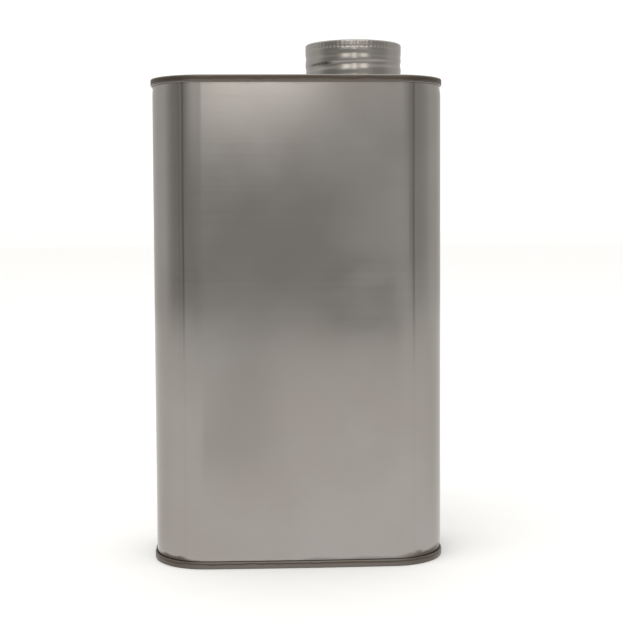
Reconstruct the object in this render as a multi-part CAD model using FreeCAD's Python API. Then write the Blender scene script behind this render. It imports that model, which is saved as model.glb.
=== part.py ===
import FreeCAD, Part

# An oblong tinplate can with a screw neck and a screw cap, in millimetres.
# The origin is at the centre of the foot of the can, X runs along the long sides, Y from front to back, +Z up.
# Every sheet-metal piece is drawn as it is bent: a centreline with bend radii, given one sheet thickness.
# Along the can, d is the distance outwards from the outer face of the body wall.

import math
import os

# Can, measured over the double seams
CAN_HEIGHT = 185.6
SEAM_LENGTH_X = 112.7
SEAM_DEPTH_Y = 58.8
SEAM_CORNER_R = 20.7
LONG_SIDE_R = 1400.0
SHORT_SIDE_R = 400.0

# Sheets
BODY_SHEET = 0.24
END_SHEET = 0.26
NECK_SHEET = 0.28
CAP_SHEET = 0.28

# Double seam: five layers of sheet with a little air or lacquer between them
SEAM_HEIGHT = 2.7
LAYER_GAP = 0.05
SEAM_TOP_BEND = 0.38
BODY_HOOK_DROP = 0.30
HOOK_END_GAP = 0.3
COVER_HOOK_TIP = 1.15

# End panel, as depths below the top of the seam
COUNTERSINK_DEPTH = 4.4
OUTER_PANEL_DEPTH = 3.4
INNER_PANEL_DEPTH = 2.8
COUNTERSINK_WIDTH = 1.7
PANEL_STEP_INSET = 3.9
PANEL_STEP_RUN = 0.7
PANEL_BEND = 0.4
PANEL_STRIP = 1.0

# Sealing compound lining the top of each seam
COMPOUND_WIDTH = 0.64
COMPOUND_THICKNESS = 0.20
COMPOUND_DROP = 0.04

# Welded lap of the body sheet, on the short side away from the neck
WELD_WIDTH = 1.0
WELD_RISE = 0.12
WELD_SEAM_GAP = 0.3

# Neck, and the boss of the top end that it is clinched to
NECK_X = 22.7
NECK_WALL_R = 17.5
NECK_LIP_BORE_R = 15.875
NECK_LIP_STRAIGHT = 2.0
NECK_TOP = 198.6
NECK_BEAD_R = 20.9
NECK_BEAD_RISE = 0.34
NECK_FLANGE_R = 20.4
NECK_BEND = 0.35
BOSS_OUTER_R = 22.6
BOSS_INNER_R = 21.7
BOSS_RISE = 0.8
BOSS_MARGIN = 0.6
PANEL_HOLE_R = 17.7
GASKET_THICKNESS = 0.30
GASKET_GAP = 0.03
GASKET_INNER_R = 17.95
GASKET_OUTER_R = 20.4

# Cap
CAP_TOP = 200.0
CAP_BOTTOM = 185.4
CAP_WALL_R = 18.8
CAP_SHOULDER_R = 0.7
CAP_CURL_BEND = 0.35
CAP_CURL_RISE = 0.8
CAP_SHELL_LOW = CAP_BOTTOM + 0.9
KNURL_COUNT = 68
KNURL_LOW = 196.5
KNURL_GROOVE_R = 0.5
KNURL_DEPTH = 0.2

# Cap liner
LINER_R = 17.7
LINER_BOARD_THICKNESS = 0.9
LINER_FOIL_THICKNESS = 0.12
LINER_TOP_GAP = 0.02

# Rolled round thread, right-handed, single start, counted in turns from the +X side
THREAD_PITCH = 4.0
RUN_OUT_TURNS = 0.3
RUN_OUT_CLEARANCE = 0.1
PATH_POINTS_PER_TURN = 16
CAP_GROOVE_DEPTH = 0.5
CAP_GROOVE_R = 1.6
CAP_GROOVE_LEVEL = 184.9
CAP_GROOVE_TURNS = (0.4, 2.75)
NECK_RIDGE_HEIGHT = 0.75
NECK_RIDGE_R = 1.2
NECK_RIDGE_LEVEL = CAP_GROOVE_LEVEL + THREAD_PITCH / 2
NECK_RIDGE_TURNS = (0.4, 2.25)
NECK_RIDGE_ZONE = (186.6, 197.2)

FULL_TURN = 360.0
SHORTEST_EDGE = 1e-6
UP = FreeCAD.Vector(0, 0, 1)

# Layers of the seam, as the distances of their centrelines from the outer face of the body wall
SEAM_OUT = 3 * LAYER_GAP + 2 * END_SHEET + BODY_SHEET
D_CHUCK_WALL = -BODY_SHEET - LAYER_GAP - END_SHEET / 2
D_BODY_WALL = -BODY_SHEET / 2
D_COVER_HOOK = LAYER_GAP + END_SHEET / 2
D_BODY_HOOK = 2 * LAYER_GAP + END_SHEET + BODY_SHEET / 2
D_SEAMING_WALL = SEAM_OUT - END_SHEET / 2


def vector(x, z):
    """A point of an upright section: x across, z up."""
    return FreeCAD.Vector(x, 0, z)


def bent_side(points, bends, offset):
    """Edges of one side of a bent sheet: the centreline moved to its left by offset."""
    corners = [vector(*p) for p in points]
    runs = [(b - a).normalize() for a, b in zip(corners, corners[1:])]
    lefts = [FreeCAD.Vector(-run.z, 0, run.x) for run in runs]
    edges = []
    last = corners[0] + lefts[0] * offset
    for i, bend in enumerate(bends):
        corner = corners[i + 1]
        turn = math.acos(max(-1.0, min(1.0, runs[i].dot(runs[i + 1]))))
        setback = bend * math.tan(turn / 2)
        side = 1.0 if runs[i].cross(runs[i + 1]).y < 0 else -1.0
        centre = corner - runs[i] * setback + lefts[i] * (side * bend)
        radius = bend - side * offset
        begin = centre - lefts[i] * (side * radius)
        end = centre - lefts[i + 1] * (side * radius)
        middle = centre - (lefts[i] + lefts[i + 1]).normalize() * (side * radius)
        if (begin - last).Length > SHORTEST_EDGE:
            edges.append(Part.LineSegment(last, begin).toShape())
        edges.append(Part.Arc(begin, middle, end).toShape())
        last = end
    finish = corners[-1] + lefts[-1] * offset
    if (finish - last).Length > SHORTEST_EDGE:
        edges.append(Part.LineSegment(last, finish).toShape())
    return edges


def bent_sheet(points, bends, thickness):
    """Section of a sheet bent along points (x, z), with one centreline radius at each inner point."""
    left = bent_side(points, bends, thickness / 2)
    right = bent_side(points, bends, -thickness / 2)
    start, end = vector(*points[0]), vector(*points[-1])
    first = (vector(*points[1]) - start).normalize()
    last = (end - vector(*points[-2])).normalize()
    first_left = FreeCAD.Vector(-first.z, 0, first.x) * (thickness / 2)
    last_left = FreeCAD.Vector(-last.z, 0, last.x) * (thickness / 2)
    ends = [
        Part.LineSegment(start + first_left, start - first_left).toShape(),
        Part.LineSegment(end + last_left, end - last_left).toShape(),
    ]
    return Part.Face(Part.Wire(Part.__sortEdges__(left + right + ends)))


def rectangle(x0, x1, z0, z1):
    """A rectangular section."""
    corners = [vector(x0, z0), vector(x1, z0), vector(x1, z1), vector(x0, z1)]
    return Part.Face(Part.makePolygon(corners + corners[:1]))


def meeting_point(centre_a, radius_a, centre_b, radius_b):
    """The meeting point, in front and to the right, of two circles given by (x, y) centres."""
    across = (centre_b[0] - centre_a[0], centre_b[1] - centre_a[1])
    apart = math.hypot(*across)
    along = (apart**2 + radius_a**2 - radius_b**2) / (2 * apart)
    aside = math.sqrt(radius_a**2 - along**2)
    ux, uy = across[0] / apart, across[1] / apart
    foot = (centre_a[0] + ux * along, centre_a[1] + uy * along)
    found = [(foot[0] - s * uy * aside, foot[1] + s * ux * aside) for s in (1, -1)]
    return max(found, key=lambda p: p[0] - p[1])


def body_arcs():
    """The outer line of the body wall as tangent arcs: (centre x, centre y, radius, first angle, last angle)."""
    half_x = SEAM_LENGTH_X / 2 - SEAM_OUT
    half_y = SEAM_DEPTH_Y / 2 - SEAM_OUT
    corner_r = SEAM_CORNER_R - SEAM_OUT
    front = (0.0, LONG_SIDE_R - half_y)
    right = (half_x - SHORT_SIDE_R, 0.0)
    corner = meeting_point(front, LONG_SIDE_R - corner_r, right, SHORT_SIDE_R - corner_r)
    long_half = math.degrees(math.atan2(corner[0], front[1] - corner[1]))
    short_half = math.degrees(math.atan2(-corner[1], corner[0] - right[0]))
    arcs = []
    for quarter, (sx, sy) in enumerate([(1, -1), (1, 1), (-1, 1), (-1, -1)]):
        on_short_side = quarter % 2 == 0
        turn = 90.0 * quarter - 90.0
        before = long_half if on_short_side else short_half
        after = short_half if on_short_side else long_half
        arcs.append((sx * corner[0], sy * abs(corner[1]), corner_r, turn + before, turn + 90.0 - after))
        if on_short_side:
            arcs.append((sx * right[0], 0.0, SHORT_SIDE_R, turn + 90.0 - after, turn + 90.0 + after))
        else:
            arcs.append((0.0, -sy * front[1], LONG_SIDE_R, turn + 90.0 - after, turn + 90.0 + after))
    return arcs


def around_can(section):
    """Carries a section (d, z) once round the can."""
    sectors = []
    for x, y, radius, first, last in body_arcs():
        face = section.copy()
        face.translate(FreeCAD.Vector(radius, 0, 0))
        face.rotate(FreeCAD.Vector(), UP, first)
        centre = FreeCAD.Vector(x, y, 0)
        face.translate(centre)
        sectors.append(face.revolve(centre, UP, last - first))
    return sectors[0].multiFuse(sectors[1:])


def plate(d, z_low, z_high):
    """A flat plate filling the body outline moved outwards by d."""
    edges = []
    for x, y, radius, first, last in body_arcs():
        circle = Part.Circle(FreeCAD.Vector(x, y, z_low), UP, radius + d)
        edges.append(Part.Arc(circle, math.radians(first), math.radians(last)).toShape())
    return Part.Face(Part.Wire(edges)).extrude(UP * (z_high - z_low))


def turned(section):
    """Turns a section (radius, z) once round the neck's axis."""
    solid = section.revolve(FreeCAD.Vector(), UP, FULL_TURN)
    solid.translate(FreeCAD.Vector(NECK_X, 0, 0))
    return solid


def post(radius, z_low, z_high):
    """A plain round post on the neck's axis."""
    return Part.makeCylinder(radius, z_high - z_low, FreeCAD.Vector(NECK_X, 0, z_low), UP)


def mirrored_down(solid):
    """The same piece for the foot of the can."""
    return solid.mirror(FreeCAD.Vector(0, 0, CAN_HEIGHT / 2), UP)


def thread_tube(path_r, run_out, level, turns, tube_r):
    """A round tube wound along the thread between two turns; its path moves by run_out at both ends."""
    first, last = turns
    count = round((last - first) * PATH_POINTS_PER_TURN)
    points = []
    for i in range(count + 1):
        turn = first + (last - first) * i / count
        to_end = min(turn - first, last - turn) / RUN_OUT_TURNS
        radius = path_r + run_out * (0.5 + 0.5 * math.cos(math.pi * min(1.0, to_end)))
        angle = 2 * math.pi * turn
        z = level + THREAD_PITCH * turn
        points.append(FreeCAD.Vector(radius * math.cos(angle), radius * math.sin(angle), z))
    curve = Part.BSplineCurve()
    curve.interpolate(points)
    start_tangent = curve.tangent(curve.FirstParameter)[0]
    ring = Part.Wire(Part.Circle(points[0], start_tangent, tube_r).toShape())
    tube = Part.Wire(curve.toShape()).makePipeShell([ring], True, True)
    tube.translate(FreeCAD.Vector(NECK_X, 0, 0))
    return tube


def one_solid(shape):
    """The single solid that a boolean made."""
    solids = shape.Solids
    assert len(solids) == 1, f"{len(solids)} solids where one was meant"
    return solids[0]


def seam_section():
    """The end's sheet from the tip of its cover hook, over the seam, down to the inner panel."""
    top = CAN_HEIGHT - END_SHEET / 2
    low = CAN_HEIGHT - SEAM_HEIGHT + END_SHEET / 2
    hook_bend = (D_SEAMING_WALL - D_COVER_HOOK) / 2
    groove = CAN_HEIGHT - COUNTERSINK_DEPTH
    outer_panel = CAN_HEIGHT - OUTER_PANEL_DEPTH
    inner_panel = CAN_HEIGHT - INNER_PANEL_DEPTH
    groove_inside = D_CHUCK_WALL - COUNTERSINK_WIDTH
    step_top = -PANEL_STEP_INSET - PANEL_STEP_RUN
    points = [
        (D_COVER_HOOK, CAN_HEIGHT - COVER_HOOK_TIP),
        (D_COVER_HOOK, low),
        (D_SEAMING_WALL, low),
        (D_SEAMING_WALL, top),
        (D_CHUCK_WALL, top),
        (D_CHUCK_WALL, groove),
        (groove_inside, groove),
        (groove_inside, outer_panel),
        (-PANEL_STEP_INSET, outer_panel),
        (step_top, inner_panel),
        (step_top - PANEL_STRIP, inner_panel),
    ]
    bends = [hook_bend, hook_bend, SEAM_TOP_BEND, SEAM_TOP_BEND] + [PANEL_BEND] * 5
    return bent_sheet(points, bends, END_SHEET)


def plain_end():
    """An end with a plain inner panel, seamed on at the top of the can."""
    step_top = -PANEL_STEP_INSET - PANEL_STEP_RUN
    middle = CAN_HEIGHT - INNER_PANEL_DEPTH
    panel = plate(step_top - PANEL_STRIP, middle - END_SHEET / 2, middle + END_SHEET / 2)
    return around_can(seam_section()).fuse(panel)


def top_end():
    """The top end: its panel rises to a round boss with a hole for the neck."""
    low = CAN_HEIGHT - INNER_PANEL_DEPTH
    high = low + BOSS_RISE
    boss = bent_sheet(
        [(BOSS_OUTER_R + BOSS_MARGIN, low), (BOSS_OUTER_R, low), (BOSS_INNER_R, high), (PANEL_HOLE_R, high)],
        [PANEL_BEND, PANEL_BEND],
        END_SHEET,
    )
    opened = plain_end().cut(post(BOSS_OUTER_R + BOSS_MARGIN, low - END_SHEET, low + END_SHEET))
    return one_solid(opened.fuse(turned(boss)).removeSplitter())


def bottom_end():
    """The bottom end, the same stamping without a boss."""
    return one_solid(mirrored_down(plain_end()).removeSplitter())


def body_shell():
    """The body: one sheet, hooked into both seams and lap-welded up one short side."""
    hook_bend = (D_BODY_HOOK - D_BODY_WALL) / 2
    top = CAN_HEIGHT - END_SHEET - BODY_HOOK_DROP - BODY_SHEET / 2
    tip = CAN_HEIGHT - SEAM_HEIGHT + END_SHEET + HOOK_END_GAP
    points = [
        (D_BODY_HOOK, CAN_HEIGHT - tip),
        (D_BODY_HOOK, CAN_HEIGHT - top),
        (D_BODY_WALL, CAN_HEIGHT - top),
        (D_BODY_WALL, top),
        (D_BODY_HOOK, top),
        (D_BODY_HOOK, tip),
    ]
    shell = around_can(bent_sheet(points, [hook_bend] * 4, BODY_SHEET))
    outer_face = SEAM_LENGTH_X / 2 - SEAM_OUT
    below_seams = SEAM_HEIGHT + WELD_SEAM_GAP
    weld = Part.makeBox(
        WELD_RISE + BODY_SHEET / 2,
        WELD_WIDTH,
        CAN_HEIGHT - 2 * below_seams,
        FreeCAD.Vector(-outer_face - WELD_RISE, -WELD_WIDTH / 2, below_seams),
    )
    return one_solid(shell.fuse(weld).removeSplitter())


def seam_compound():
    """The ring of sealing compound between the end and the fold of the body hook."""
    high = CAN_HEIGHT - END_SHEET - COMPOUND_DROP
    middle = (D_BODY_WALL + D_BODY_HOOK) / 2
    half = COMPOUND_WIDTH / 2
    ring = around_can(rectangle(middle - half, middle + half, high - COMPOUND_THICKNESS, high))
    return one_solid(ring.removeSplitter())


def neck_levels():
    """Heights of the neck's lower flange and of its bead: (flange, bead's lower layer, bead's upper layer)."""
    panel = CAN_HEIGHT - INNER_PANEL_DEPTH + BOSS_RISE
    flange = panel - END_SHEET / 2 - GASKET_GAP - NECK_SHEET / 2
    bead = panel + END_SHEET / 2 + GASKET_THICKNESS + 2 * GASKET_GAP + NECK_SHEET / 2
    return flange, bead, bead + NECK_BEAD_RISE


def neck_ridged(wall_r, ridge_r, z_low, z_high):
    """A round post with the neck's thread standing out from it."""
    path_r = NECK_WALL_R - NECK_RIDGE_R + NECK_RIDGE_HEIGHT
    run_out = -NECK_RIDGE_HEIGHT - RUN_OUT_CLEARANCE
    ridge = thread_tube(path_r, run_out, NECK_RIDGE_LEVEL, NECK_RIDGE_TURNS, ridge_r)
    return post(wall_r, z_low, z_high).fuse(ridge)


def screw_neck():
    """The neck: flanged under the panel, beaded over it, threaded, and hemmed inwards at the lip."""
    flange, bead_low, bead_high = neck_levels()
    wall = NECK_WALL_R - NECK_SHEET / 2
    lip = NECK_LIP_BORE_R + NECK_SHEET / 2
    lip_bend = (wall - lip) / 2
    lip_top = NECK_TOP - NECK_SHEET / 2
    zone_low, zone_high = NECK_RIDGE_ZONE
    bead_bend = NECK_BEAD_RISE / 2
    bead_out = NECK_BEAD_R - NECK_SHEET / 2
    foot = bent_sheet(
        [
            (NECK_FLANGE_R, flange),
            (wall, flange),
            (wall, bead_low),
            (bead_out, bead_low),
            (bead_out, bead_high),
            (wall, bead_high),
            (wall, zone_low),
        ],
        [NECK_BEND, NECK_BEND, bead_bend, bead_bend, NECK_BEND],
        NECK_SHEET,
    )
    hem = bent_sheet(
        [(wall, zone_high), (wall, lip_top), (lip, lip_top), (lip, lip_top - lip_bend - NECK_LIP_STRAIGHT)],
        [lip_bend, lip_bend],
        NECK_SHEET,
    )
    threaded = neck_ridged(NECK_WALL_R, NECK_RIDGE_R, zone_low, zone_high)
    hollow = neck_ridged(NECK_WALL_R - NECK_SHEET, NECK_RIDGE_R - NECK_SHEET, zone_low, zone_high)
    return one_solid(threaded.cut(hollow).multiFuse([turned(foot), turned(hem)]))


def neck_gasket():
    """The flat ring of compound between the panel and the neck's bead."""
    low = CAN_HEIGHT - INNER_PANEL_DEPTH + BOSS_RISE + END_SHEET / 2 + GASKET_GAP
    return turned(rectangle(GASKET_INNER_R, GASKET_OUTER_R, low, low + GASKET_THICKNESS))


def knurl_grooves(groove_r, z_low):
    """Upright rods that press the grip grooves into the cap's wall, up to its top."""
    ring_r = CAP_WALL_R + KNURL_GROOVE_R - KNURL_DEPTH
    rods = []
    for i in range(KNURL_COUNT):
        angle = 2 * math.pi * (i + 0.5) / KNURL_COUNT
        place = FreeCAD.Vector(NECK_X + ring_r * math.cos(angle), ring_r * math.sin(angle), z_low)
        rods.append(Part.makeCylinder(groove_r, CAP_TOP - z_low, place, UP))
    return rods


def cap_pressed(inset):
    """The outside of the cap's drawn shell (inset 0), or its inside (inset by the sheet)."""
    drum = post(CAP_WALL_R - inset, CAP_SHELL_LOW, CAP_TOP - inset)
    top_edge = [edge for edge in drum.Edges if edge.BoundBox.ZMin > CAP_TOP - CAP_SHOULDER_R]
    drum = drum.makeFillet(CAP_SHOULDER_R - inset, top_edge)
    path_r = CAP_WALL_R + CAP_GROOVE_R - CAP_GROOVE_DEPTH
    run_out = CAP_GROOVE_DEPTH + CAP_SHEET + RUN_OUT_CLEARANCE
    groove = thread_tube(path_r, run_out, CAP_GROOVE_LEVEL, CAP_GROOVE_TURNS, CAP_GROOVE_R + inset)
    return drum.cut(groove).cut(knurl_grooves(KNURL_GROOVE_R + inset, KNURL_LOW - inset))


def screw_cap():
    """The cap: a drawn shell, knurled round its shoulder, with a rolled thread and an outward curl."""
    wall = CAP_WALL_R - CAP_SHEET / 2
    low = CAP_BOTTOM + CAP_SHEET / 2
    curl_out = wall + 2 * CAP_CURL_BEND
    curl = bent_sheet(
        [(wall, CAP_SHELL_LOW), (wall, low), (curl_out, low), (curl_out, low + CAP_CURL_RISE)],
        [CAP_CURL_BEND, CAP_CURL_BEND],
        CAP_SHEET,
    )
    return one_solid(cap_pressed(0.0).cut(cap_pressed(CAP_SHEET)).fuse(turned(curl)))


def liner_disc(high, thickness):
    """One layer of the disc inside the cap."""
    return post(LINER_R, high - thickness, high)


def make_parts():
    """Every sub-part by its node's name."""
    board_top = CAP_TOP - CAP_SHEET - LINER_TOP_GAP
    foil_top = board_top - LINER_BOARD_THICKNESS
    compound = seam_compound()
    return {
        "body_shell": body_shell(),
        "top_end": top_end(),
        "bottom_end": bottom_end(),
        "top_seam_compound": compound,
        "bottom_seam_compound": mirrored_down(compound),
        "screw_neck": screw_neck(),
        "neck_gasket": neck_gasket(),
        "screw_cap": screw_cap(),
        "cap_liner_board": liner_disc(board_top, LINER_BOARD_THICKNESS),
        "cap_liner_foil": liner_disc(foil_top, LINER_FOIL_THICKNESS),
    }


def main():
    os.makedirs("parts", exist_ok=True)
    for name, shape in make_parts().items():
        assert shape.isValid(), f"{name} isn't a valid solid"
        shape.exportStep(os.path.join("parts", name + ".step"))
        print(name, "solids", len(shape.Solids), "faces", len(shape.Faces), "volume", round(shape.Volume, 2))


main()
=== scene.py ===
import math

import bpy
import numpy as np
from mathutils import Matrix, Vector


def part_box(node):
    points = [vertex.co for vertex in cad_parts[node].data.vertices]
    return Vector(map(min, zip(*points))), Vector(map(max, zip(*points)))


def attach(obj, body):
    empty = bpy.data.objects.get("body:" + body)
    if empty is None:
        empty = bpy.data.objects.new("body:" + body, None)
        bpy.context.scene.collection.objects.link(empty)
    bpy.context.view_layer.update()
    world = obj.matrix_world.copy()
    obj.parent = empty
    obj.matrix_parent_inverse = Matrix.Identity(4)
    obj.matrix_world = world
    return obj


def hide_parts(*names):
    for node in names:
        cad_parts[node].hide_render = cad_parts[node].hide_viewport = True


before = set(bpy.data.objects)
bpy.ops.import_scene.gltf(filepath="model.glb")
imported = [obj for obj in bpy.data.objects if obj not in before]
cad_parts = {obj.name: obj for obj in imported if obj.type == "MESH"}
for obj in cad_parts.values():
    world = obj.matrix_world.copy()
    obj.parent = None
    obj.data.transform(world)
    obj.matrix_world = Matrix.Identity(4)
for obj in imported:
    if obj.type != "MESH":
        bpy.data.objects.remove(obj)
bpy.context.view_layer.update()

# Lengths are in metres, in the can's own frame: X along the long side, Y from front to back, +Z up.
MM = 0.001
CAN_MIDDLE = Vector((0, 0, 0.1))
# A distance too great to matter
FAR_AWAY = 1.0

# Body outline: tangent arcs, the same as the outer face of the CAD body
SEAM_OUT = 0.91 * MM
SEAM_CORNER_R = 20.7 * MM
LONG_SIDE_R = 1400 * MM
SHORT_SIDE_R = 400 * MM
# Length of each corner's arc
CORNER_ARC = 29 * MM
BODY_SHEET = 0.24 * MM
SEAM_HEIGHT = 2.7 * MM
# The visible sheet stops this far short of the CAD sheet's ends, out of sight inside the seams
BODY_END_GAP = 0.9 * MM

# The body's arcs run anticlockwise: front right corner, right side, back right corner, back, and so on
FRONT_RIGHT, RIGHT, BACK_RIGHT, BACK, BACK_LEFT, LEFT, FRONT_LEFT, FRONT = range(8)
ARC_COLUMNS = {
    FRONT_RIGHT: 96,
    RIGHT: 24,
    BACK_RIGHT: 64,
    BACK: 72,
    BACK_LEFT: 64,
    LEFT: 96,
    FRONT_LEFT: 96,
    FRONT: 110,
}
BODY_ROWS = 124

# Slow waves in the body: (height, length across, length up, shift across, shift up)
PANEL_WAVES = [
    (0.04 * MM, 19 * MM, 31 * MM, 0.4, 0.9),
    (0.03 * MM, 11 * MM, 47 * MM, 2.1, 2.4),
    (0.02 * MM, 27 * MM, 15 * MM, 1.2, 0.3),
]
# Dents in the front panel: (x, z, half width, half height, depth)
FRONT_DENTS = [(26 * MM, 104.5 * MM, 11 * MM, 9 * MM, 0.25 * MM)]
# Waves and dents die away over this distance from each end of the sheet
WAVE_FADE = 14 * MM
# Forming creases up the corners: (arc, share along it, depth, half width, height where it starts to deepen)
CREASES = [
    (FRONT_LEFT, 0.749, 0.10 * MM, 0.8 * MM, 70 * MM),
    (FRONT_LEFT, 0.700, 0.03 * MM, 0.9 * MM, 70 * MM),
    (FRONT_RIGHT, 0.251, 0.10 * MM, 0.8 * MM, 70 * MM),
    (FRONT_RIGHT, 0.215, 0.03 * MM, 0.9 * MM, 90 * MM),
    (BACK_RIGHT, 0.749, 0.08 * MM, 0.8 * MM, 60 * MM),
    (BACK_LEFT, 0.251, 0.08 * MM, 0.8 * MM, 60 * MM),
]
# A crease has this share of its depth below that height, and all of it from this far above
CREASE_LEAST = 0.06
CREASE_RUN = 50 * MM
# How far each short side bows out past the CAD outline, and how far from the sheet's ends it is fully bowed
RIGHT_BOW = 0.55 * MM
LEFT_BOW = 0.25 * MM
BOW_FADE = 5 * MM
# How squarely the sheet faces forwards, or sideways, from where a dent or a bow begins to where it is full
FRONT_FACING = (0.5, 0.95)
SIDE_FACING = (0.55, 0.97)
# The side weld: a raised strip with soft edges, which stops short of the sheet's ends
WELD_RISE = 0.12 * MM
WELD_HALF_WIDTH = 0.5 * MM
WELD_EDGE = (WELD_HALF_WIDTH - 0.1 * MM, WELD_HALF_WIDTH + 0.12 * MM)
WELD_ENDS = (3.0 * MM, 3.6 * MM)

# Cap
NECK_X = 22.7 * MM
CAP_WALL_R = 18.8 * MM
CAP_SHEET = 0.28 * MM
CAP_SHOULDER_R = 0.7 * MM
CAP_CURL_R = 0.35 * MM
CAP_CURL_RISE = 0.8 * MM
CAP_ROWS = 84
CAP_CROWN_RINGS = (0.93, 0.8, 0.6, 0.4, 0.2, 0.05)
EDGE_STEPS = 4
BEND_STEPS = 8

# The cap's knurl, and the row of nicks along its lower edge
KNURL_COUNT = 68
COLUMNS_PER_KNURL = 6
KNURL_LOW = 197.2 * MM
KNURL_SETS_IN = (KNURL_LOW - 0.1 * MM, KNURL_LOW + 0.4 * MM)
KNURL_DEPTH = 0.05 * MM
NICK_Z = KNURL_LOW + 0.3 * MM
NICK_HALF_HEIGHT = 0.5 * MM
NICK_DEPTH = 0.11 * MM

# The cap's rolled thread, a groove that runs out at both ends, and the shallow ring under the knurl
THREAD_PITCH = 4.0 * MM
GROOVE_LEVEL = 183.9 * MM
GROOVE_TURNS = (0.4, 2.75)
GROOVE_DEPTH = 0.27 * MM
GROOVE_HALF_WIDTH = 2.0 * MM
RUN_OUT_TURNS = 0.8
RING_Z = 194.8 * MM
RING_DEPTH = 0.13 * MM
RING_HALF_WIDTH = 1.6 * MM

# Camera, where the picture was taken from; angles in degrees, lens in mm
CAMERA_PLACE = Vector((-16.85, -493.7, 133.4)) * MM
CAMERA_YAW = 2.61
CAMERA_PITCH = 2.90
CAMERA_ROLL = 0.29
CAMERA_LENS = 72.06
CAMERA_SHIFT_Y = -0.053

# Studio: a pale floor, even light all round, and a soft lamp that is itself never seen
FLOOR_HALF = 9.0
WORLD_LIGHT = 1.1
LAMP_POWER = 6.0
LAMP_SIZE = 1.2
LAMP_PLACE = Vector((-0.5, -0.6, 1.5))

# The room that only the tin reflects. Its brightness changes with direction. A direction in front is given
# by its slopes: how far to the right (across) and how far up (rise) for each metre ahead.
# Below, a pair of directions is where a change begins and ends, and a pair of brightnesses goes with one.
ROOM_RADIUS = 5.0
# Each LEAST value keeps a division away from zero
LEAST_AHEAD = 0.05
# The front, the rear and the ceiling, by a unit direction's parts along X, Y and Z
FRONT_SIDES = (-0.5, 0.25)
FRONT_BRIGHTNESS = (0.34, 0.445)
FRONT_HALF = (-0.5, -0.2)
REAR_HALF = (-0.4, 0.2)
REAR_BRIGHTNESS = 0.66
CEILING_SETS_IN = (0.2, 0.75)
CEILING_GAIN = 0.5
# A lamp ahead and a little left, with a bright core and a wide glow that is stronger at the left
CORE_ACROSS = -0.022
CORE_EDGE = (0.035, 0.13)
CORE_RISE = (0.082, 0.108)
CORE_GAIN = 0.8
GLOW_SIDES = (-0.1, 0.2)
GLOW_GAIN = (0.42, 0.26)
GLOW_EDGE = (0.3, 1.1)
GLOW_RISE = (0.066, 0.098)
# A lamp on each side, higher up
PAIR_ACROSS = 0.42
PAIR_EDGE = (0.05, 0.3)
PAIR_RISE = (0.16, 0.3)
PAIR_GAIN = 0.85
# A low lit opening at the right
DOORWAY_LEFT = (0.05, 0.18)
DOORWAY_RIGHT = (0.7, 1.2)
DOORWAY_HEIGHT = (0.015, 0.06)
DOORWAY_GAIN = 0.20

# The table top that only the tin reflects, just above the floor
TABLE_Z = 0.2 * MM
# Its brightness in front of the can and behind it, and the directions along Y where one turns into the other
TABLE_BRIGHTNESS = (0.94, 0.88)
TABLE_TURN = (-0.4, 0.1)
LEAST_TABLE_AHEAD = 0.02
LEAST_SQUARE = 1e-6
# It fades to the room's brightness, slowly and then at its edge, which is further off towards the sides
TABLE_FADE = (0.1, 0.95)
TABLE_FADE_SHARE = 0.22
TABLE_EDGE = (0.75, 1.35)
RIGHT_TURN = (0.1, 0.8)
RIGHT_SCALE = (1.04, 0.8)
LEFT_TURN = (-0.9, -0.2)
LEFT_SCALE = (0.85, 1.0)
# A faint shade on it close in front of the can: middle, edge, how far in front, and depth
SHADE_X = -0.042
SHADE_EDGE = (0.01, 0.055)
SHADE_Y = (-0.28, -0.12)
SHADE_DEPTH = 0.13
# A darker blotch on it further off: direction, edge, far end, near end, and depth
BLOTCH_ACROSS = 0.115
BLOTCH_EDGE = (0.01, 0.06)
BLOTCH_FAR = (-2.6, -2.0)
BLOTCH_NEAR = (-1.25, -0.9)
BLOTCH_DEPTH = 0.11

# Colours
TIN = (0.402, 0.388, 0.367, 1)
TIN_STAIN = (0.370, 0.352, 0.325, 1)
# Colour of the painted shade in the creases, on the seams and on the body beside them
PAINTED_SHADE_COLOUR = (0.075, 0.058, 0.044, 1)
COMPOUND = (0.05, 0.04, 0.032, 1)
COMPOUND_PALE = (0.08, 0.065, 0.05, 1)
BOARD = (0.50, 0.41, 0.29, 1)
BOARD_PALE = (0.58, 0.50, 0.38, 1)
FOIL = (0.70, 0.70, 0.72, 1)
FOIL_PALE = (0.80, 0.80, 0.81, 1)
FLOOR = (0.91, 0.91, 0.90, 1)
FLOOR_PALE = (0.94, 0.94, 0.93, 1)
DAYLIGHT = (1.0, 0.995, 0.985, 1.0)
ROOM_WHITE = (1.0, 0.975, 0.95, 1.0)

# The tin's finish: its kinds of noise, in features per metre along X, Y and Z
CLOUDS = (22, 22, 22)
MOTTLES = (75, 75, 60)
GRAIN = (14, 14, 2600)
STREAKS = (5, 5, 620)
# Noise stays near 0.5, so each use spreads out the part between two of its values
CLOUD_SPAN = (0.35, 0.7)
MOTTLE_SPAN = (0.56, 0.76)
UNEVEN_SPAN = (0.3, 0.7)
# Strength of the stain in the mottles, and of the painted shade in the creases
MOTTLE_SHARE = 0.30
CREASE_PAINTED_SHADE = 0.5
# A piece's roughness varies between two steps from its own, mostly with the clouds, and the painted shade's
# mask adds to it
CLOUD_ROUGHENS = 0.75
STREAK_ROUGHENS = 0.25
SMOOTHEST = -0.02
ROUGHEST = 0.03
PAINTED_SHADE_ROUGHENS = 0.25
# Shares of the noise in the surface's relief, and the stretch that the grain gives a highlight
GRAIN_RELIEF = 0.5
STREAK_RELIEF = 0.1
ANISOTROPY = 0.35
ANISOTROPY_TURN = 0.25
# Relief and roughness of each piece
FINE_GRAIN = 0.0012 * MM
COARSE_GRAIN = 0.002 * MM
BODY_ROUGHNESS = 0.125
CAP_ROUGHNESS = 0.19
NECK_ROUGHNESS = 0.22
END_ROUGHNESS = 0.24
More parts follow.
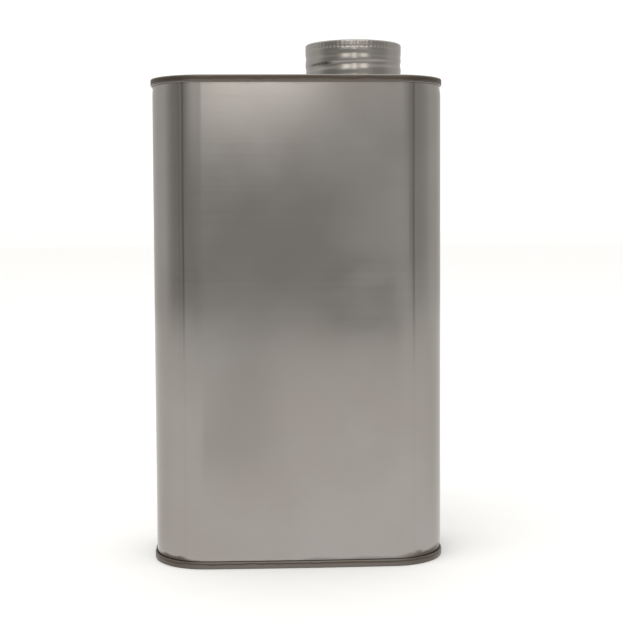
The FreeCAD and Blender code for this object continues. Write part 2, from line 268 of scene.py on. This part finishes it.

# Painted shade on the seams, standing for crevice shadow and dark reflection: its strength in the dark band,
# and over the rest of the top and the bottom seam.
# The bottom's rises towards the corners, between two distances from the middle.
BAND_SHARE = 0.92
TOP_SHARE = 0.76
BOTTOM_SHARE = (0.68, 0.76)
BOTTOM_CORNER = (34 * MM, 47 * MM)
# How far the band's edges wander, with which noise, and how soft the edges are
BAND_WANDER = 1.2 * MM
SEAM_BLOTCHES = (160, 160, 160)
BAND_LOW_EDGE = (-0.4 * MM, 0.2 * MM)
BAND_HIGH_EDGE = (-0.1 * MM, 0.3 * MM)
REST_EDGE = 0.3 * MM
# Painted shadow on the body beside the seams: its noise, how far it spreads, and where it is heavier
BODY_BLOTCHES = (46, 46, 110)
BLOTCH_SPAN = (0.4, 0.66)
SPREAD = (0.4 * MM, 1.7 * MM)
SPREAD_FADE = (0.2, 1.0)
BODY_CORNER = (35 * MM, 47 * MM)
FOOT_ZONE = (20 * MM, 30 * MM)
FOOT_WEIGHT = 0.35
TOP_WEIGHT = 0.12
CORNER_WEIGHT = 0.5
CORNER_SPREAD = 1.6
CORNER_LEAST = 0.1

# Finish of the compound, the board, the foil and the floor
MATT_SPAN = (0.35, 0.65)
MATT_SPREAD = 0.08
TEXTURE_FINENESS = 9
CRINKLES = (420, 420, 420)
CRINKLE_DEPTH = 0.01 * MM
FOIL_ROUGHNESS = (0.22, 0.34)
SPECKLES = (40, 40, 40)
FLOOR_ROUGHNESS = 0.9


def smooth_step(low, high, value):
    """0 below low, 1 above high, and a smooth ramp between."""
    t = np.clip((value - low) / (high - low), 0.0, 1.0)
    return t * t * (3.0 - 2.0 * t)


def bell(distance, width):
    """A smooth bump of height 1 that is gone at width from its middle."""
    return np.where(np.abs(distance) < width, 0.5 + 0.5 * np.cos(np.pi * distance / width), 0.0)


def clear_of_ends(start, end, z, low, high):
    """0 up to start from the nearer of two ends, 1 beyond end from it, and a smooth ramp between."""
    return smooth_step(start, end, z - low) * smooth_step(start, end, high - z)


# ---------------------------------------------------------------- meshes


def link_mesh(name, points, faces):
    """A smooth-shaded object made of points and faces."""
    mesh = bpy.data.meshes.new(name)
    mesh.from_pydata(np.asarray(points).tolist(), [], faces)
    mesh.validate()
    mesh.shade_smooth()
    piece = bpy.data.objects.new(name, mesh)
    bpy.context.scene.collection.objects.link(piece)
    return piece


def sheet_mesh(name, outer, inner, capped=False):
    """A closed thin shell from two grids of points (rows, columns, xyz) whose columns run once round.

    A strip joins the grids' first rows. Another joins their last rows, unless each is capped by a fan.
    """
    rows, columns, _ = outer.shape
    inside = rows * columns
    last = inside - columns
    points = np.concatenate([outer.reshape(-1, 3), inner.reshape(-1, 3)])
    faces = []
    for c in range(columns):
        d = (c + 1) % columns
        for r in range(rows - 1):
            a, b = r * columns + c, r * columns + d
            faces.append((a, b, b + columns, a + columns))
            faces.append((inside + a, inside + a + columns, inside + b + columns, inside + b))
        faces.append((c, inside + c, inside + d, d))
        if capped:
            faces.append((last + c, last + d, 2 * inside))
            faces.append((inside + last + d, inside + last + c, 2 * inside + 1))
        else:
            faces.append((last + c, last + d, inside + last + d, inside + last + c))
    if capped:
        middles = [outer[-1].mean(axis=0), inner[-1].mean(axis=0)]
        points = np.concatenate([points, np.array(middles)])
    return link_mesh(name, points, faces)


def body_arcs(half_x, half_y, corner_r):
    """The body's outline as arcs: (centre x, centre y, radius, first angle, last angle)."""
    front_y = LONG_SIDE_R - half_y
    right_x = half_x - SHORT_SIDE_R
    apart = math.hypot(right_x, front_y)
    reach_a, reach_b = LONG_SIDE_R - corner_r, SHORT_SIDE_R - corner_r
    along = (apart**2 + reach_a**2 - reach_b**2) / (2 * apart)
    aside = math.sqrt(reach_a**2 - along**2)
    ux, uy = right_x / apart, -front_y / apart
    corner_x = ux * along - uy * aside
    corner_y = front_y + uy * along + ux * aside
    long_half = math.atan2(corner_x, front_y - corner_y)
    short_half = math.atan2(-corner_y, corner_x - right_x)
    quarter = math.pi / 2
    arcs = []
    for i, (sx, sy) in enumerate([(1, -1), (1, 1), (-1, 1), (-1, -1)]):
        on_short_side = i % 2 == 0
        turn = quarter * (i - 1)
        before = long_half if on_short_side else short_half
        after = short_half if on_short_side else long_half
        arcs.append((sx * corner_x, sy * abs(corner_y), corner_r, turn + before, turn + quarter - after))
        if on_short_side:
            arcs.append((sx * right_x, 0.0, SHORT_SIDE_R, turn + quarter - after, turn + quarter + after))
        else:
            arcs.append((0.0, -sy * front_y, LONG_SIDE_R, turn + quarter - after, turn + quarter + after))
    return arcs


def outline_columns(arcs):
    """Place, outward normal, and (arc number, share along it) for every column of the body's grid."""
    places, normals, shares = [], [], []
    for number, (x, y, radius, first, last) in enumerate(arcs):
        count = ARC_COLUMNS[number]
        for k in range(count):
            angle = first + (last - first) * k / count
            normal = (math.cos(angle), math.sin(angle))
            places.append((x + radius * normal[0], y + radius * normal[1]))
            normals.append(normal)
            shares.append((number, k / count))
    return np.array(places), np.array(normals), np.array(shares)


def crease_depth(shares, z):
    """Depth of the forming creases at a height, for every column."""
    total = np.zeros(len(shares))
    for number, share, depth, width, deepens in CREASES:
        along = np.where(shares[:, 0] == number, (shares[:, 1] - share) * CORNER_ARC, FAR_AWAY)
        reach = CREASE_LEAST + (1 - CREASE_LEAST) * smooth_step(deepens, deepens + CREASE_RUN, z)
        total += depth * reach * bell(along, width)
    return total


def body_relief(places, normals, shares, z, low, high):
    """How far the sheet stands off its outline at a height: waves, dents, creases, bows and the weld."""
    x, y = places[:, 0], places[:, 1]
    total = np.zeros(len(x))
    free = clear_of_ends(0.0, WAVE_FADE, z, low, high)
    for height, across, up, shift, rise in PANEL_WAVES:
        total += free * height * np.sin(x / across + shift) * math.sin(z / up + rise)
    facing = smooth_step(*FRONT_FACING, -normals[:, 1])
    for place_x, place_z, wide, tall, depth in FRONT_DENTS:
        near = np.exp(-(((x - place_x) / wide) ** 2) - ((z - place_z) / tall) ** 2)
        total -= free * facing * near * depth
    total -= crease_depth(shares, z)
    bowed = clear_of_ends(0.0, BOW_FADE, z, low, high)
    total += bowed * RIGHT_BOW * smooth_step(*SIDE_FACING, normals[:, 0])
    total += bowed * LEFT_BOW * smooth_step(*SIDE_FACING, -normals[:, 0])
    from_weld = np.where(x < 0, np.abs(y), FAR_AWAY)
    on_weld = 1.0 - smooth_step(*WELD_EDGE, from_weld)
    return total + WELD_RISE * clear_of_ends(*WELD_ENDS, z, low, high) * on_weld


def make_body():
    """The body sheet, from inside the bottom seam to inside the top seam."""
    seam_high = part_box("top_end")[1]
    arcs = body_arcs(seam_high.x - SEAM_OUT, seam_high.y - SEAM_OUT, SEAM_CORNER_R - SEAM_OUT)
    places, normals, shares = outline_columns(arcs)
    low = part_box("body_shell")[0].z + BODY_END_GAP
    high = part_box("body_shell")[1].z - BODY_END_GAP
    heights = np.linspace(low, high, BODY_ROWS)
    outer = np.zeros((BODY_ROWS, len(places), 3))
    inner = np.zeros((BODY_ROWS, len(places), 3))
    for r, z in enumerate(heights):
        relief = body_relief(places, normals, shares, z, low, high)[:, None]
        outer[r, :, :2] = places + normals * relief
        inner[r, :, :2] = places + normals * (relief - BODY_SHEET)
        outer[r, :, 2] = z
        inner[r, :, 2] = z
    piece = sheet_mesh("body_sheet", outer, inner)
    # The creases' depth, kept on the points, drives painted shade in the tin's colour
    creases = np.array([crease_depth(shares, z) for z in heights]).ravel() / CREASES[0][2]
    crease_shade = piece.data.attributes.new("crease", "FLOAT", "POINT")
    crease_shade.data.foreach_set("value", np.concatenate([creases, creases]))
    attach(piece, "can")
    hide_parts("body_shell")
    return piece


def groove_depth(angles, z):
    """Depth of the cap's rolled thread groove at a height, fading out at both ends."""
    depth = np.zeros_like(angles)
    first, last = GROOVE_TURNS
    for lap in range(math.ceil(last) + 1):
        turn = angles / (2 * math.pi) + lap
        to_end = np.clip(np.minimum(turn - first, last - turn) / RUN_OUT_TURNS, 0.0, 1.0)
        strength = 0.5 - 0.5 * np.cos(np.pi * to_end)
        near = bell(z - (GROOVE_LEVEL + THREAD_PITCH * turn), GROOVE_HALF_WIDTH)
        depth = np.maximum(depth, strength * near * GROOVE_DEPTH)
    return depth


def cap_press(angles, z):
    """How far the cap's wall is pressed in at a height: rolled thread, ring under the knurl, and knurl."""
    ribs = 0.5 + 0.5 * np.cos(KNURL_COUNT * angles)
    knurl = KNURL_DEPTH * smooth_step(*KNURL_SETS_IN, z)
    nick = NICK_DEPTH * bell(z - NICK_Z, NICK_HALF_HEIGHT)
    ring = RING_DEPTH * bell(z - RING_Z, RING_HALF_WIDTH)
    return groove_depth(angles, z) + ring + ribs * (knurl + nick)


def cap_profile(low, high):
    """Half-section of the cap's outer face: (radius, height, how much of the pressing it takes)."""
    curl_out = CAP_WALL_R - CAP_SHEET + 2 * CAP_CURL_R
    curl_z = low + CAP_SHEET / 2 + CAP_CURL_R
    curl_middle = (CAP_WALL_R + curl_out) / 2
    curl_bend = (curl_out - CAP_WALL_R) / 2
    shoulder_z = high - CAP_SHOULDER_R
    crown_r = CAP_WALL_R - CAP_SHOULDER_R
    points = []
    for k in range(EDGE_STEPS + 1):
        points.append((curl_out, curl_z + CAP_CURL_RISE * (1 - k / EDGE_STEPS), 0.0))
    for k in range(1, BEND_STEPS):
        angle = math.pi * k / BEND_STEPS
        points.append((curl_middle + curl_bend * math.cos(angle), curl_z - curl_bend * math.sin(angle), 0.0))
    for k in range(CAP_ROWS):
        points.append((CAP_WALL_R, curl_z + (shoulder_z - curl_z) * k / (CAP_ROWS - 1), 1.0))
    for k in range(1, BEND_STEPS + 1):
        angle = math.pi / 2 * k / BEND_STEPS
        radius = crown_r + CAP_SHOULDER_R * math.cos(angle)
        points.append((radius, shoulder_z + CAP_SHOULDER_R * math.sin(angle), math.cos(angle) ** 2))
    for share in CAP_CROWN_RINGS:
        points.append((crown_r * share, high, 0.0))
    return points


def inside_of(profile, thickness):
    """The half-section moved inwards, square to itself, by the sheet's thickness."""
    inner = []
    for i, (radius, z, press) in enumerate(profile):
        before = profile[max(i - 1, 0)]
        after = profile[min(i + 1, len(profile) - 1)]
        run = Vector((after[0] - before[0], after[1] - before[1])).normalized()
        inner.append((radius - run.y * thickness, z + run.x * thickness, press))
    return inner


def turned_grid(profile, columns):
    """A grid of points from the cap's half-section turned about the neck, with its wall pressed in."""
    angles = 2 * math.pi * np.arange(columns) / columns
    grid = np.zeros((len(profile), columns, 3))
    for r, (radius, z, press) in enumerate(profile):
        reach = radius - press * cap_press(angles, z)
        grid[r, :, 0] = NECK_X + reach * np.cos(angles)
        grid[r, :, 1] = reach * np.sin(angles)
        grid[r, :, 2] = z
    return grid


def make_cap():
    """The cap as one thin closed shell: curl, pressed wall, rounded shoulder and flat top."""
    low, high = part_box("screw_cap")
    profile = cap_profile(low.z, high.z)
    columns = KNURL_COUNT * COLUMNS_PER_KNURL
    outer = turned_grid(profile, columns)
    inner = turned_grid(inside_of(profile, CAP_SHEET), columns)
    piece = sheet_mesh("cap_shell", outer, inner, capped=True)
    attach(piece, "cap")
    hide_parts("screw_cap")
    return piece


# ---------------------------------------------------------------- materials


class Graph:
    """A material's node tree, with one short call for each kind of node used here."""

    def __init__(self, name):
        self.material = bpy.data.materials.new(name)
        self.material.use_nodes = True
        self.tree = self.material.node_tree
        self.tree.nodes.clear()

    def add(self, kind, inputs=None, **settings):
        """A node with its settings, and its inputs, by name or number, given a value or linked."""
        node = self.tree.nodes.new("ShaderNode" + kind)
        for key, value in settings.items():
            setattr(node, key, value)
        for key, value in (inputs or {}).items():
            if isinstance(value, bpy.types.NodeSocket):
                self.tree.links.new(value, node.inputs[key])
            else:
                node.inputs[key].default_value = value
        return node

    def place(self):
        """The place on the object, in metres."""
        return self.add("TexCoord").outputs["Object"]

    def axes(self, vector):
        """The X, Y and Z of a vector."""
        return self.add("SeparateXYZ", {0: vector}).outputs

    def noise(self, scale, detail=3.0, roughness=0.5):
        """Noise around 0.5 with the given number of features per metre along X, Y and Z."""
        stretched = self.add("Mapping", {"Vector": self.place(), "Scale": scale}).outputs[0]
        inputs = {"Vector": stretched, "Scale": 1.0, "Detail": detail, "Roughness": roughness}
        return self.add("TexNoise", inputs).outputs[0]

    def ramp(self, value, low, high, to_low=0.0, to_high=1.0):
        """A smooth ramp of value from low..high to to_low..to_high."""
        inputs = {0: value, 1: low, 2: high, 3: to_low, 4: to_high}
        return self.add("MapRange", inputs, interpolation_type="SMOOTHSTEP").outputs[0]

    def maths(self, operation, a, b=0.0):
        """Arithmetic on two numbers."""
        return self.add("Math", {0: a, 1: b}, operation=operation).outputs[0]

    def total(self, *values):
        """The sum of several numbers."""
        result = values[0]
        for value in values[1:]:
            result = self.maths("ADD", result, value)
        return result

    def product(self, *values):
        """The product of several numbers."""
        result = values[0]
        for value in values[1:]:
            result = self.maths("MULTIPLY", result, value)
        return result

    def mix(self, share, a, b):
        """A colour between a and b."""
        return self.add("MixRGB", {0: share, 1: a, 2: b}).outputs[0]

    def finish(self, shader):
        """Links the shader to the surface and gives the material."""
        output = self.tree.nodes.new("ShaderNodeOutputMaterial")
        self.tree.links.new(shader.outputs[0], output.inputs["Surface"])
        return self.material


def tinplate(name, roughness, grain, painted_shade_of=None):
    """Bare tinplate: cloudy, with grain and streaks round it, painted shade in the creases, and more painted
    shade if asked for.
    """
    g = Graph(name)
    cloud = g.noise(CLOUDS, detail=4.0)
    mottle = g.noise(MOTTLES, detail=5.0, roughness=0.62)
    fine = g.noise(GRAIN, detail=2.0)
    streaks = g.noise(STREAKS, detail=3.0)
    colour = g.mix(g.ramp(cloud, *CLOUD_SPAN), TIN_STAIN, TIN)
    colour = g.mix(g.ramp(mottle, *MOTTLE_SPAN, 0.0, MOTTLE_SHARE), colour, TIN_STAIN)
    crease = g.add("Attribute", attribute_name="crease").outputs["Fac"]
    # Painted shade: the creases are darkened in colour by their depth
    colour = g.mix(g.product(crease, CREASE_PAINTED_SHADE), colour, PAINTED_SHADE_COLOUR)
    uneven = g.total(g.product(cloud, CLOUD_ROUGHENS), g.product(streaks, STREAK_ROUGHENS))
    rough = g.ramp(uneven, *UNEVEN_SPAN, roughness + SMOOTHEST, roughness + ROUGHEST)
    if painted_shade_of:
        # Painted shade and shadow at and beside the seams, darkening the colour and roughening it
        painted_shade = painted_shade_of(g)
        colour = g.mix(painted_shade, colour, PAINTED_SHADE_COLOUR)
        rough = g.total(rough, g.product(painted_shade, PAINTED_SHADE_ROUGHENS))
    relief = g.total(g.product(fine, GRAIN_RELIEF), g.product(streaks, STREAK_RELIEF))
    bump = g.add("Bump", {"Strength": 1.0, "Distance": grain, "Height": relief})
    tangent = g.add("Tangent", direction_type="RADIAL", axis="Z")
    shader = g.add("BsdfPrincipled", {
        "Base Color": colour,
        "Metallic": 1.0,
        "Roughness": rough,
        "Normal": bump.outputs[0],
        "Tangent": tangent.outputs[0],
        "Anisotropic": ANISOTROPY,
        "Anisotropic Rotation": ANISOTROPY_TURN,
    })
    return g.finish(shader)


def seam_painted_shade(g, dark, rest, rest_share):
    """Painted shade on a seam: thick in the dark band, and thinner over the rest. Both are pairs of heights.
    """
    height = g.axes(g.place())[2]
    blotch = g.noise(SEAM_BLOTCHES, detail=4.0)
    shifted = g.total(height, g.product(g.total(blotch, -0.5), BAND_WANDER))
    thick = g.product(
        g.ramp(shifted, dark[0] + BAND_LOW_EDGE[0], dark[0] + BAND_LOW_EDGE[1]),
        g.ramp(shifted, dark[1] + BAND_HIGH_EDGE[0], dark[1] + BAND_HIGH_EDGE[1], 1.0, 0.0),
    )
    thin = g.product(
        g.ramp(height, rest[0], rest[0] + REST_EDGE),
        g.ramp(height, rest[1] - REST_EDGE, rest[1], 1.0, 0.0),
    )
    return g.maths("MAXIMUM", g.product(thick, BAND_SHARE), g.product(thin, rest_share))


def top_seam_painted_shade(g):
    """Painted shade on the top seam, thickest along its upper half."""
    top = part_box("top_end")[1].z
    dark = (top - 1.9 * MM, top - 0.7 * MM)
    rest = (top - SEAM_HEIGHT, top - 0.1 * MM)
    return seam_painted_shade(g, dark, rest, TOP_SHARE)


def bottom_seam_painted_shade(g):
    """Painted shade on the bottom seam, thickest along its upper half and heavier round the corners."""
    from_middle = g.maths("ABSOLUTE", g.axes(g.place())[0])
    share = g.ramp(from_middle, *BOTTOM_CORNER, *BOTTOM_SHARE)
    dark = (1.5 * MM, 2.2 * MM)
    rest = (-1.0 * MM, SEAM_HEIGHT + 0.3 * MM)
    return seam_painted_shade(g, dark, rest, share)


def body_painted_shadow(g):
    """Painted shadow on the body where it meets the two seams, spreading in blotches, heaviest at the foot's
    corners.
    """
    x, _, height = g.axes(g.place())
    blotch = g.noise(BODY_BLOTCHES, detail=4.0, roughness=0.6)
    by_corner = g.ramp(g.maths("ABSOLUTE", x), *BODY_CORNER)
    at_corner = g.product(by_corner, g.ramp(height, *FOOT_ZONE, 1.0, CORNER_LEAST))
    spread = g.total(1.0, g.product(at_corner, CORNER_SPREAD))
    reach = g.product(g.ramp(blotch, *BLOTCH_SPAN, *SPREAD), spread)
    from_foot = g.maths("SUBTRACT", height, SEAM_HEIGHT)
    from_top = g.maths("SUBTRACT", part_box("top_end")[1].z - SEAM_HEIGHT, height)
    share = g.maths("DIVIDE", g.maths("MINIMUM", from_foot, from_top), reach)
    by_height = g.ramp(from_foot, *FOOT_ZONE, FOOT_WEIGHT, TOP_WEIGHT)
    weight = g.total(by_height, g.product(at_corner, CORNER_WEIGHT))
    return g.product(g.ramp(share, *SPREAD_FADE, 1.0, 0.0), weight)


def matt(name, colour, other, features, roughness, depth):
    """A matt surface with a mottled colour and a fine texture."""
    g = Graph(name)
    mottle = g.noise((features,) * 3, detail=5.0, roughness=0.6)
    fine = g.noise((features * TEXTURE_FINENESS,) * 3)
    bump = g.add("Bump", {"Strength": 1.0, "Distance": depth, "Height": fine})
    shader = g.add("BsdfPrincipled", {
        "Base Color": g.mix(g.ramp(mottle, *MATT_SPAN), colour, other),
        "Roughness": g.ramp(mottle, *UNEVEN_SPAN, roughness - MATT_SPREAD, roughness + MATT_SPREAD),
        "Normal": bump.outputs[0],
    })
    return g.finish(shader)


def foil(name):
    """Bright smooth foil, faintly crinkled."""
    g = Graph(name)
    crinkle = g.noise(CRINKLES, detail=4.0)
    bump = g.add("Bump", {"Strength": 1.0, "Distance": CRINKLE_DEPTH, "Height": crinkle})
    shader = g.add("BsdfPrincipled", {
        "Base Color": g.mix(crinkle, FOIL, FOIL_PALE),
        "Metallic": 1.0,
        "Roughness": g.ramp(crinkle, *UNEVEN_SPAN, *FOIL_ROUGHNESS),
        "Normal": bump.outputs[0],
    })
    return g.finish(shader)


def dress(piece, material):
    """Gives a piece one material."""
    piece.data.materials.clear()
    piece.data.materials.append(material)


# ---------------------------------------------------------------- studio


def front_lamp(g, across, rise):
    """The lamp ahead: its core and its glow."""
    off_lamp = g.maths("ABSOLUTE", g.maths("SUBTRACT", across, CORE_ACROSS))
    core = g.product(g.ramp(off_lamp, *CORE_EDGE, CORE_GAIN, 0.0), g.ramp(rise, *CORE_RISE))
    glow = g.product(g.ramp(across, *GLOW_SIDES, *GLOW_GAIN), g.ramp(off_lamp, *GLOW_EDGE, 1.0, 0.0))
    return g.total(core, g.product(glow, g.ramp(rise, *GLOW_RISE)))


def side_lamps(g, across, rise):
    """The pair of higher lamps, one on each side."""
    off_pair = g.maths("ABSOLUTE", g.maths("SUBTRACT", g.maths("ABSOLUTE", across), PAIR_ACROSS))
    return g.product(g.ramp(off_pair, *PAIR_EDGE, PAIR_GAIN, 0.0), g.ramp(rise, *PAIR_RISE))


def doorway(g, across, rise):
    """The low lit opening at the right."""
    wide = g.product(
        g.ramp(across, *DOORWAY_LEFT, 0.0, DOORWAY_GAIN),
        g.ramp(across, *DOORWAY_RIGHT, 1.0, 0.0),
    )
    return g.product(wide, g.ramp(g.maths("ABSOLUTE", rise), *DOORWAY_HEIGHT, 1.0, 0.0))


def room_light(g):
    """Brightness of the room in each direction, as seen from the middle of the can."""
    offset = g.add("VectorMath", {0: g.place(), 1: CAN_MIDDLE}, operation="SUBTRACT").outputs[0]
    x, y, z = g.axes(g.add("VectorMath", {0: offset}, operation="NORMALIZE").outputs[0])
    ahead = g.maths("MAXIMUM", g.product(y, -1.0), LEAST_AHEAD)
    across = g.maths("DIVIDE", x, ahead)
    rise = g.maths("DIVIDE", z, ahead)
    front = g.ramp(x, *FRONT_SIDES, *FRONT_BRIGHTNESS)
    behind = g.product(g.ramp(y, *REAR_HALF), g.maths("SUBTRACT", REAR_BRIGHTNESS, front))
    ceiling = g.ramp(z, *CEILING_SETS_IN, 0.0, CEILING_GAIN)
    in_front = g.ramp(y, *FRONT_HALF, 1.0, 0.0)
    fittings = g.total(front_lamp(g, across, rise), side_lamps(g, across, rise), doorway(g, across, rise))
    return g.total(front, behind, ceiling, g.product(in_front, fittings))


def only_reflected(piece):
    """Leaves a stage piece to be seen in reflections and nowhere else."""
    piece.visible_camera = False
    piece.visible_diffuse = False
    piece.visible_shadow = False


def glowing(name, strength_of):
    """An emitter whose brightness varies from place to place."""
    g = Graph(name)
    material = g.finish(g.add("Emission", {"Color": ROOM_WHITE, "Strength": strength_of(g)}))
    material.cycles.emission_sampling = "NONE"
    return material


def flat_sheet(name, height, half):
    """A level square sheet, given its height and half its side."""
    corners = [(-half, -half, 0), (half, -half, 0), (half, half, 0), (-half, half, 0)]
    sheet = link_mesh(name, corners, [(0, 1, 2, 3)])
    sheet.location.z = height
    return sheet


def table_shade(g, x, y):
    """Depth of the faint shade close in front of the can."""
    off_shade = g.maths("ABSOLUTE", g.maths("SUBTRACT", x, SHADE_X))
    return g.product(g.ramp(off_shade, *SHADE_EDGE, SHADE_DEPTH, 0.0), g.ramp(y, *SHADE_Y, 1.0, 0.0))


def table_blotch(g, across, y):
    """What the darker blotch further off takes from the table's brightness, as a negative number."""
    off_blotch = g.maths("ABSOLUTE", g.maths("SUBTRACT", across, BLOTCH_ACROSS))
    depth = g.ramp(off_blotch, *BLOTCH_EDGE, -BLOTCH_DEPTH, 0.0)
    return g.product(depth, g.ramp(y, *BLOTCH_NEAR, 1.0, 0.0), g.ramp(y, *BLOTCH_FAR))


def table_light(g):
    """Brightness of the table: even near the can but for a faint shade, then falling to the room's."""
    x, y, _ = g.axes(g.place())
    away = g.maths("SQRT", g.total(g.product(x, x), g.product(y, y), LEAST_SQUARE))
    across = g.maths("DIVIDE", x, g.maths("MAXIMUM", g.product(y, -1.0), LEAST_TABLE_AHEAD))
    unshaded = g.maths("SUBTRACT", 1.0, table_shade(g, x, y))
    bright = g.product(g.ramp(g.maths("DIVIDE", y, away), *TABLE_TURN, *TABLE_BRIGHTNESS), unshaded)
    to_right = g.ramp(across, *RIGHT_TURN, *RIGHT_SCALE)
    to_left = g.ramp(across, *LEFT_TURN, *LEFT_SCALE)
    reach = g.product(away, to_right, to_left)
    slowly = g.ramp(reach, *TABLE_FADE, 0.0, TABLE_FADE_SHARE)
    at_edge = g.ramp(reach, *TABLE_EDGE, 0.0, 1 - TABLE_FADE_SHARE)
    difference = g.maths("SUBTRACT", room_light(g), bright)
    fading = g.product(g.total(slowly, at_edge), difference)
    return g.total(bright, fading, table_blotch(g, across, y))


def make_room():
    """What the tin reflects: a room, and the table top in it."""
    bpy.ops.mesh.primitive_uv_sphere_add(segments=64, ring_count=32, radius=ROOM_RADIUS)
    room = bpy.context.object
    room.name = "room"
    dress(room, glowing("room_light", room_light))
    only_reflected(room)
    table = flat_sheet("table", TABLE_Z, ROOM_RADIUS)
    dress(table, glowing("table_light", table_light))
    only_reflected(table)


def make_floor():
    """The pale floor."""
    g = Graph("pale_floor")
    speckle = g.noise(SPECKLES, detail=2.0)
    colour = g.mix(speckle, FLOOR, FLOOR_PALE)
    floor = flat_sheet("floor", 0.0, FLOOR_HALF)
    dress(floor, g.finish(g.add("BsdfPrincipled", {"Base Color": colour, "Roughness": FLOOR_ROUGHNESS})))


def make_lights():
    """Even pale light all round, and a soft lamp above, in front and to the left."""
    world = bpy.data.worlds.new("studio")
    world.use_nodes = True
    background = world.node_tree.nodes["Background"]
    background.inputs["Color"].default_value = DAYLIGHT
    background.inputs["Strength"].default_value = WORLD_LIGHT
    bpy.context.scene.world = world
    lamp = bpy.data.lights.new("overhead", "AREA")
    lamp.energy = LAMP_POWER
    lamp.size = LAMP_SIZE
    holder = bpy.data.objects.new("overhead", lamp)
    holder.location = LAMP_PLACE
    holder.rotation_euler = (CAN_MIDDLE - LAMP_PLACE).to_track_quat("-Z", "Y").to_euler()
    holder.visible_camera = False
    holder.visible_glossy = False
    bpy.context.scene.collection.objects.link(holder)


def make_camera():
    """The camera at the place the picture was taken from."""
    yaw, pitch, roll = (math.radians(a) for a in (CAMERA_YAW, CAMERA_PITCH, CAMERA_ROLL))
    forward = Vector((math.sin(yaw) * math.cos(pitch), math.cos(yaw) * math.cos(pitch), -math.sin(pitch)))
    level = Vector((math.cos(yaw), -math.sin(yaw), 0.0))
    upright = level.cross(forward)
    right = level * math.cos(roll) - upright * math.sin(roll)
    up = upright * math.cos(roll) + level * math.sin(roll)
    data = bpy.data.cameras.new("camera")
    data.lens = CAMERA_LENS
    data.shift_y = CAMERA_SHIFT_Y
    data.clip_start = 0.01
    camera = bpy.data.objects.new("camera", data)
    turn = Matrix((right, up, -forward)).transposed()
    camera.matrix_world = Matrix.Translation(CAMERA_PLACE) @ turn.to_4x4()
    bpy.context.scene.collection.objects.link(camera)
    bpy.context.scene.camera = camera


def dress_all(body, cap):
    """Gives every piece its material."""
    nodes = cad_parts
    dress(body, tinplate("body_tin", BODY_ROUGHNESS, FINE_GRAIN, body_painted_shadow))
    dress(cap, tinplate("cap_tin", CAP_ROUGHNESS, FINE_GRAIN))
    dress(nodes["top_end"], tinplate("top_end_tin", END_ROUGHNESS, COARSE_GRAIN, top_seam_painted_shade))
    dress(nodes["bottom_end"], tinplate("bottom_end_tin", END_ROUGHNESS, COARSE_GRAIN, bottom_seam_painted_shade))
    dress(nodes["screw_neck"], tinplate("neck_tin", NECK_ROUGHNESS, FINE_GRAIN))
    compound = matt("lining_compound", COMPOUND, COMPOUND_PALE, features=300, roughness=0.7, depth=0.02 * MM)
    for name in ("top_seam_compound", "bottom_seam_compound", "neck_gasket"):
        dress(nodes[name], compound)
    board = matt("pulp_board", BOARD, BOARD_PALE, features=400, roughness=0.85, depth=0.05 * MM)
    dress(nodes["cap_liner_board"], board)
    dress(nodes["cap_liner_foil"], foil("liner_foil"))


make_camera()
dress_all(make_body(), make_cap())
make_floor()
make_room()
make_lights()
bpy.context.scene.view_settings.view_transform = "Standard"
